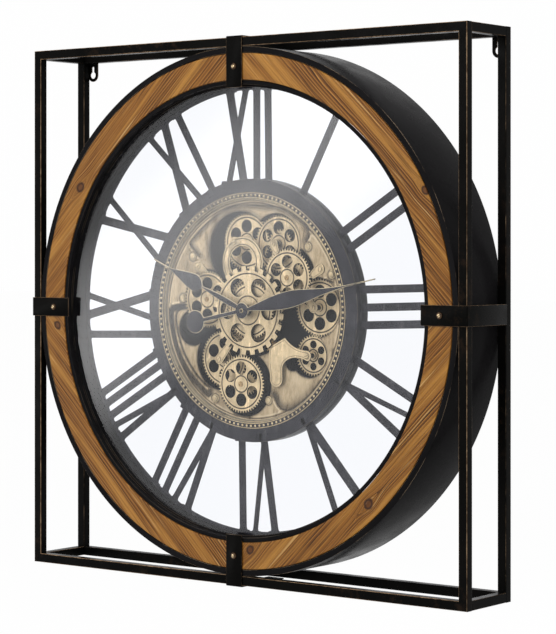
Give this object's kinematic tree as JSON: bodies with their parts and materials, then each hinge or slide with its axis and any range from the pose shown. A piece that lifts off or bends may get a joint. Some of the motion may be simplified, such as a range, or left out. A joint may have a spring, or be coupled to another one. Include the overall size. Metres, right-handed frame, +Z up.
{
  "type": "gear wall clock",
  "caption": "Square tube-framed wall clock with a wooden ring, glazed skeleton dial with roman numerals and a train of turning wheels behind the hands.",
  "frame": {"origin": "centre of the whole clock's box, on the axis of the hands and half way through the depth", "axes": "+X to the viewer's right, +Z up, +Y to the wall; the dial faces -Y"},
  "size_m": [0.7036, 0.1058, 0.7036],
  "materials": {
    "black_steel": "black paint rubbed through to bronze on the edges",
    "brass": "aged brass",
    "wood": "stained fir, dry oiled",
    "glass": "clear float glass",
    "charcoal": "charcoal paint with pale rubbed edges",
    "antique_gold": "antique gold metallic coating with a dark wash",
    "black_plastic": "black moulded plastic",
    "cell": "plain metal-foil cell jacket"
  },
  "bodies": {
    "clock": {"front_frame_top": "black_steel", "front_frame_right": "black_steel", "front_frame_bottom": "black_steel", "front_frame_left": "black_steel", "rear_frame_top": "black_steel", "rear_frame_right": "black_steel", "rear_frame_bottom": "black_steel", "rear_frame_left": "black_steel", "corner_rail_top_left": "black_steel", "corner_rail_top_right": "black_steel", "corner_rail_bottom_left": "black_steel", "corner_rail_bottom_right": "black_steel", "hanger_left": "black_steel", "hanger_right": "black_steel", "strap_top": "black_steel", "strap_right": "black_steel", "strap_bottom": "black_steel", "strap_left": "black_steel", "strap_screw_top": "brass", "strap_screw_right": "brass", "strap_screw_bottom": "brass", "strap_screw_left": "brass", "wood_top_left": "wood", "wood_top_right": "wood", "wood_bottom_left": "wood", "wood_bottom_right": "wood", "drum_shell": "black_steel", "carrier_ring": "black_steel", "bezel_ring": "black_steel", "front_glass": "glass", "dial_plate": "charcoal", "gear_bezel": "charcoal", "bead_ring": "antique_gold", "gear_panel": "antique_gold", "gear_case": "black_plastic", "arch_plate": "antique_gold", "anchor_bridge": "antique_gold", "cock_top_right": "antique_gold", "cock_right": "antique_gold", "cock_lower_left": "antique_gold", "movement_case": "black_plastic", "clock_cell": "cell", "motor_box": "black_plastic", "motor_cell": "cell"},
    "centre": {"centre_wheel": "antique_gold", "centre_arbor": "antique_gold"},
    "upper_right": {"wheel_upper_right": "antique_gold"},
    "left": {"wheel_left": "antique_gold"},
    "lower_left": {"wheel_lower_left": "antique_gold"},
    "bottom": {"wheel_bottom": "antique_gold"},
    "top_right": {"wheel_top_right": "antique_gold"},
    "top_left": {"wheel_top_left": "antique_gold"},
    "right": {"wheel_right": "antique_gold"},
    "lower_right": {"wheel_lower_right": "antique_gold"},
    "motor": {"motor_pinion": "brass"},
    "minute": {"minute_hand": "charcoal", "hand_nut": "brass"},
    "hour": {"hour_hand": "charcoal"},
    "knob": {"set_knob": "black_plastic"}
  },
  "joints": [
    {"name": "centre_spin", "type": "hinge", "parent": "clock", "child": "centre", "pos_m": [0, 0, 0], "axis": [0, 1, 0], "continuous": true},
    {"name": "upper_right_spin", "type": "hinge", "parent": "clock", "child": "upper_right", "pos_m": [0.05904, 0, 0.04258], "axis": [0, 1, 0], "continuous": true},
    {"name": "left_spin", "type": "hinge", "parent": "clock", "child": "left", "pos_m": [-0.07157, 0, 0.01327], "axis": [0, 1, 0], "continuous": true},
    {"name": "lower_left_spin", "type": "hinge", "parent": "clock", "child": "lower_left", "pos_m": [-0.05021, 0, -0.06427], "axis": [0, 1, 0], "continuous": true},
    {"name": "bottom_spin", "type": "hinge", "parent": "clock", "child": "bottom", "pos_m": [-0.01101, 0, -0.09511], "axis": [0, 1, 0], "continuous": true},
    {"name": "top_right_spin", "type": "hinge", "parent": "clock", "child": "top_right", "pos_m": [0.03859, 0, 0.08584], "axis": [0, 1, 0], "continuous": true},
    {"name": "top_left_spin", "type": "hinge", "parent": "clock", "child": "top_left", "pos_m": [-0.01595, 0, 0.08842], "axis": [0, 1, 0], "continuous": true},
    {"name": "right_spin", "type": "hinge", "parent": "clock", "child": "right", "pos_m": [0.10151, 0, 0.00514], "axis": [0, 1, 0], "continuous": true},
    {"name": "lower_right_spin", "type": "hinge", "parent": "clock", "child": "lower_right", "pos_m": [0.09127, 0, -0.05602], "axis": [0, 1, 0], "continuous": true},
    {"name": "motor_spin", "type": "hinge", "parent": "clock", "child": "motor", "pos_m": [0.02662, 0, -0.04611], "axis": [0, 1, 0], "continuous": true},
    {"name": "minute_spin", "type": "hinge", "parent": "clock", "child": "minute", "pos_m": [0, 0, 0], "axis": [0, 1, 0], "continuous": true},
    {"name": "hour_spin", "type": "hinge", "parent": "clock", "child": "hour", "pos_m": [0, 0, 0], "axis": [0, 1, 0], "continuous": true},
    {"name": "knob_spin", "type": "hinge", "parent": "clock", "child": "knob", "pos_m": [0, 0, 0.012], "axis": [0, 1, 0], "continuous": true}
  ],
  "couplings": [
    {"joint": "upper_right_spin", "follows": "centre_spin", "ratio": -1},
    {"joint": "left_spin", "follows": "centre_spin", "ratio": -1},
    {"joint": "lower_left_spin", "follows": "centre_spin", "ratio": -1.2407},
    {"joint": "bottom_spin", "follows": "centre_spin", "ratio": 3.35},
    {"joint": "top_right_spin", "follows": "centre_spin", "ratio": 0.31481},
    {"joint": "top_left_spin", "follows": "centre_spin", "ratio": -0.15741},
    {"joint": "right_spin", "follows": "centre_spin", "ratio": 0.55556},
    {"joint": "lower_right_spin", "follows": "centre_spin", "ratio": -0.78947},
    {"joint": "motor_spin", "follows": "centre_spin", "ratio": -5.5833},
    {"joint": "hour_spin", "follows": "minute_spin", "ratio": 0.083333},
    {"joint": "knob_spin", "follows": "minute_spin", "ratio": -1}
  ]
}
